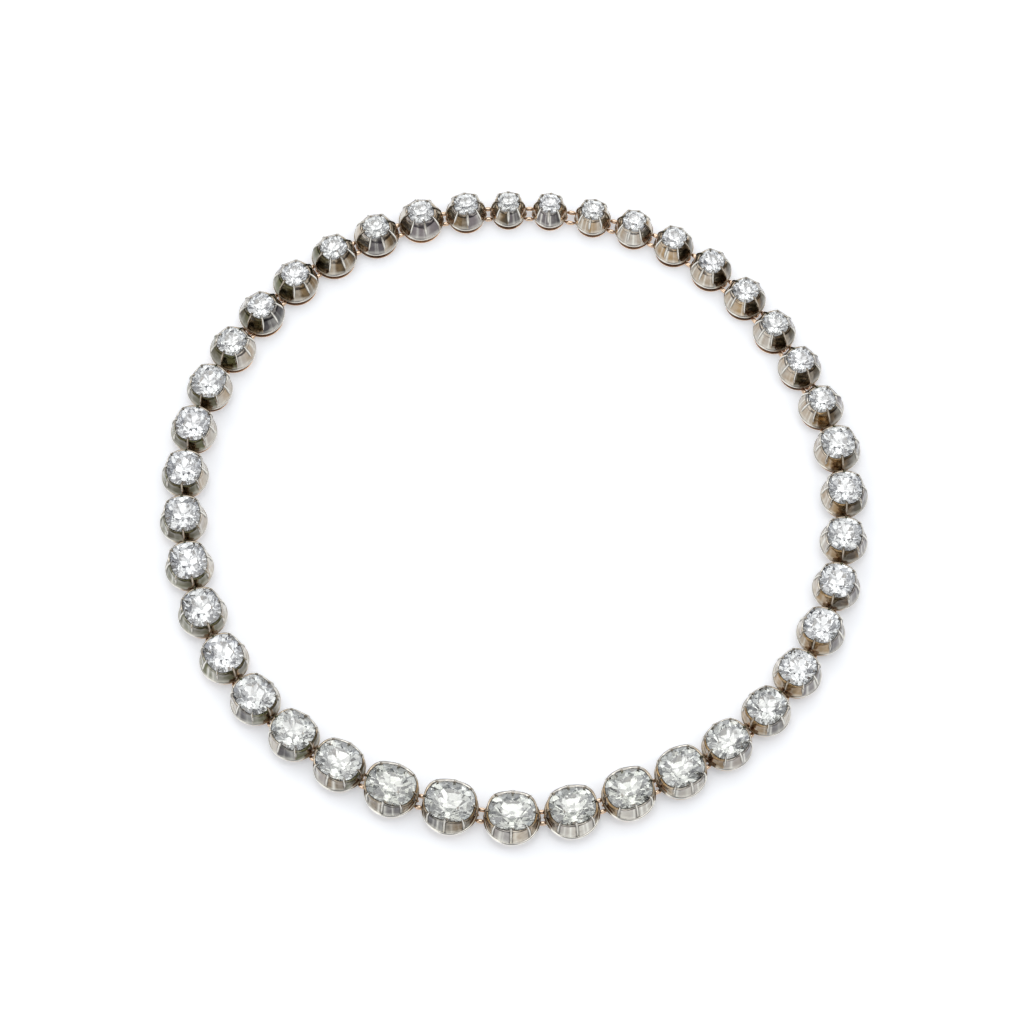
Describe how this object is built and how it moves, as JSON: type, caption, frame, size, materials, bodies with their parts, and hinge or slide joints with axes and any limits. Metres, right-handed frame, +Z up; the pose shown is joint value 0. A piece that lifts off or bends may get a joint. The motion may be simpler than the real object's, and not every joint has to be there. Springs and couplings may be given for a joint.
{
  "type": "riviere necklace",
  "caption": "Closed riviere necklace of graduated old-cut stones in ribbed silver collets with open gold backs, joined by gold wire links and lying flat in a loop.",
  "frame": {"origin": "centre of the whole loop's bounding box, on the surface that the necklace lies on", "axes": "+Z up from the surface; -Y to the front, where the largest stone is; +Y to the back, where the clasp is; +X to the right as seen from the front"},
  "size_m": [0.136, 0.1376, 0.0072],
  "materials": {
    "silver": "polished old silver, darkened in the recesses",
    "gold": "worn reddish gold",
    "diamond": "clear, cut and polished"
  },
  "bodies": {
    "root": {"collet_01": "silver", "collet_02": "silver", "collet_03": "silver", "collet_04": "silver", "collet_05": "silver", "collet_06": "silver", "collet_07": "silver", "collet_08": "silver", "collet_09": "silver", "collet_10": "silver", "collet_11": "silver", "collet_12": "silver", "collet_13": "silver", "collet_14": "silver", "collet_15": "silver", "collet_16": "silver", "collet_17": "silver", "collet_18": "silver", "collet_19": "silver", "collet_20": "silver", "collet_21": "silver", "collet_22": "silver", "collet_23": "silver", "collet_24": "silver", "collet_25": "silver", "collet_26": "silver", "collet_27": "silver", "collet_28": "silver", "collet_29": "silver", "collet_30": "silver", "collet_31": "silver", "collet_32": "silver", "collet_33": "silver", "collet_34": "silver", "collet_35": "silver", "collet_36": "silver", "collet_37": "silver", "collet_38": "silver", "collet_39": "silver", "collet_40": "silver", "collet_41": "silver", "stones": "diamond", "links": "gold", "clasp": "gold"}
  },
  "joints": []
}
